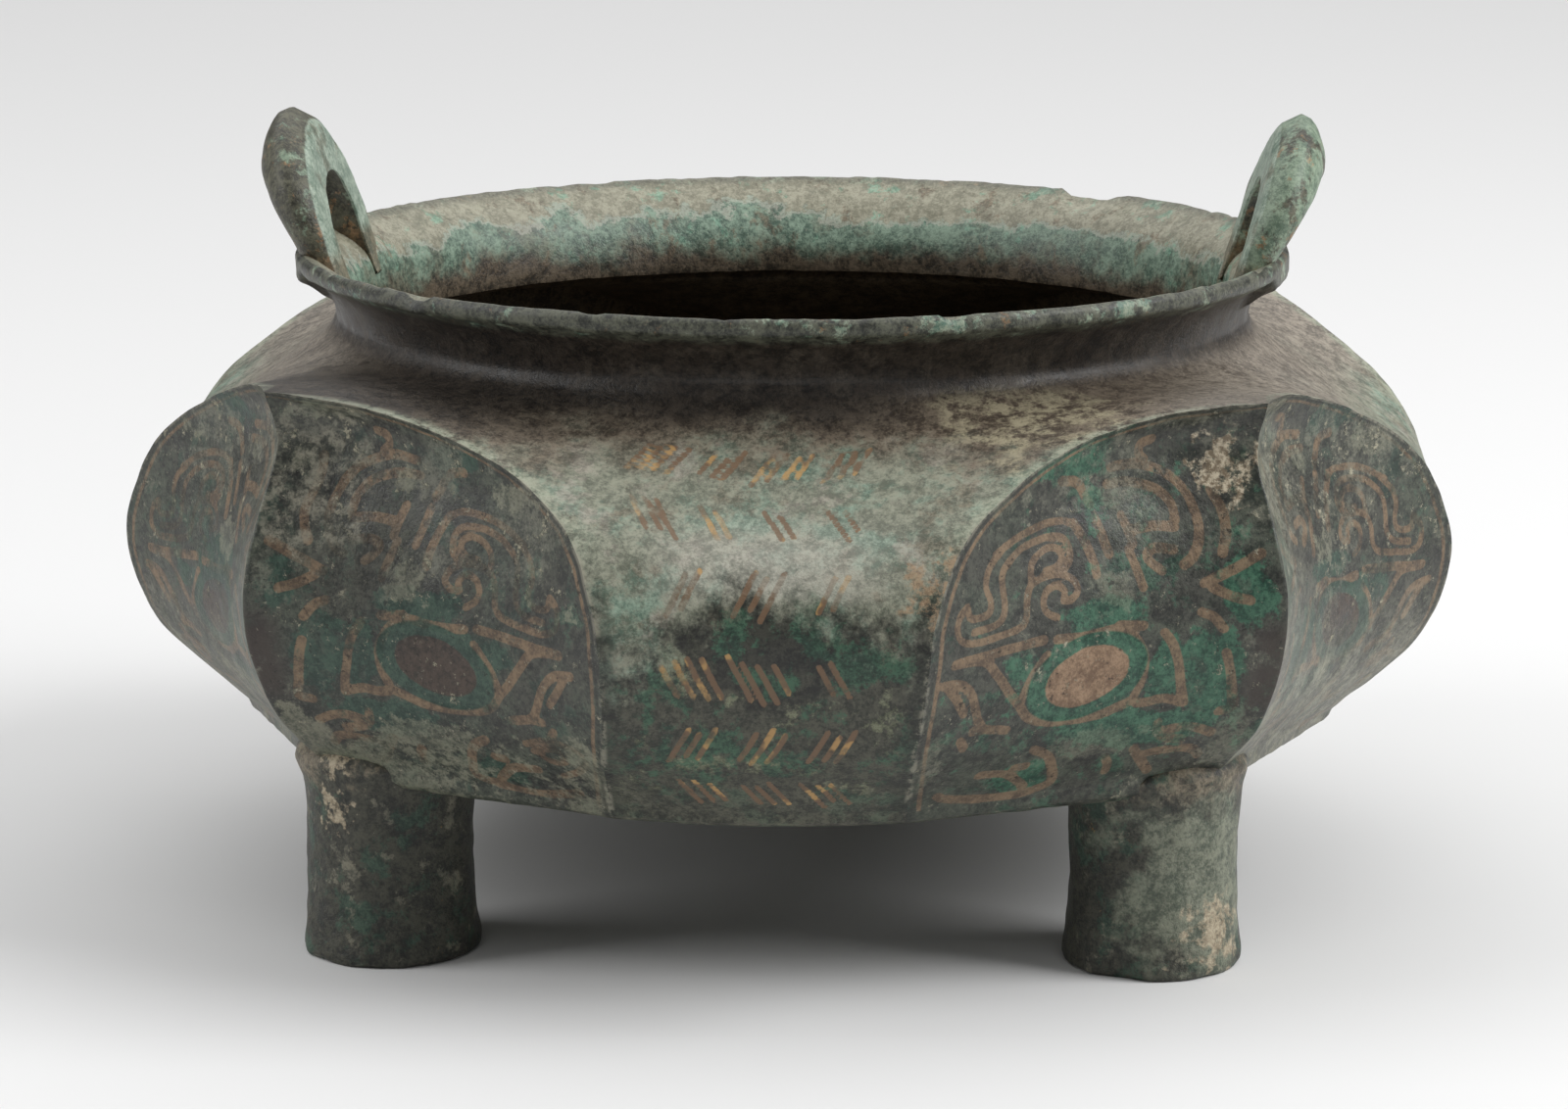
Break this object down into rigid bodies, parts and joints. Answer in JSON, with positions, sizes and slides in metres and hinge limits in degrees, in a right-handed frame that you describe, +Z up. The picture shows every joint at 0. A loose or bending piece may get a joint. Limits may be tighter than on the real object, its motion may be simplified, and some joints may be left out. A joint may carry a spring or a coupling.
{
  "type": "bronze censer",
  "caption": "Squat hollow cast bronze censer with a lobed body, flared round mouth, upright loop handles and columnar legs, for burning incense on a stand or table.",
  "frame": {"origin": "centre of the four feet on the surface that the censer stands on, under the axis of the mouth", "axes": "+Z up; the handles stand at -X and +X; the panel with the rows of strokes faces -Y"},
  "size_m": [0.2848, 0.2848, 0.166],
  "materials": {
    "bronze": "green-brown bronze patina with copper and gold inlay, matt with worn satin areas"
  },
  "bodies": {
    "root": {"censer": "bronze"}
  },
  "joints": []
}
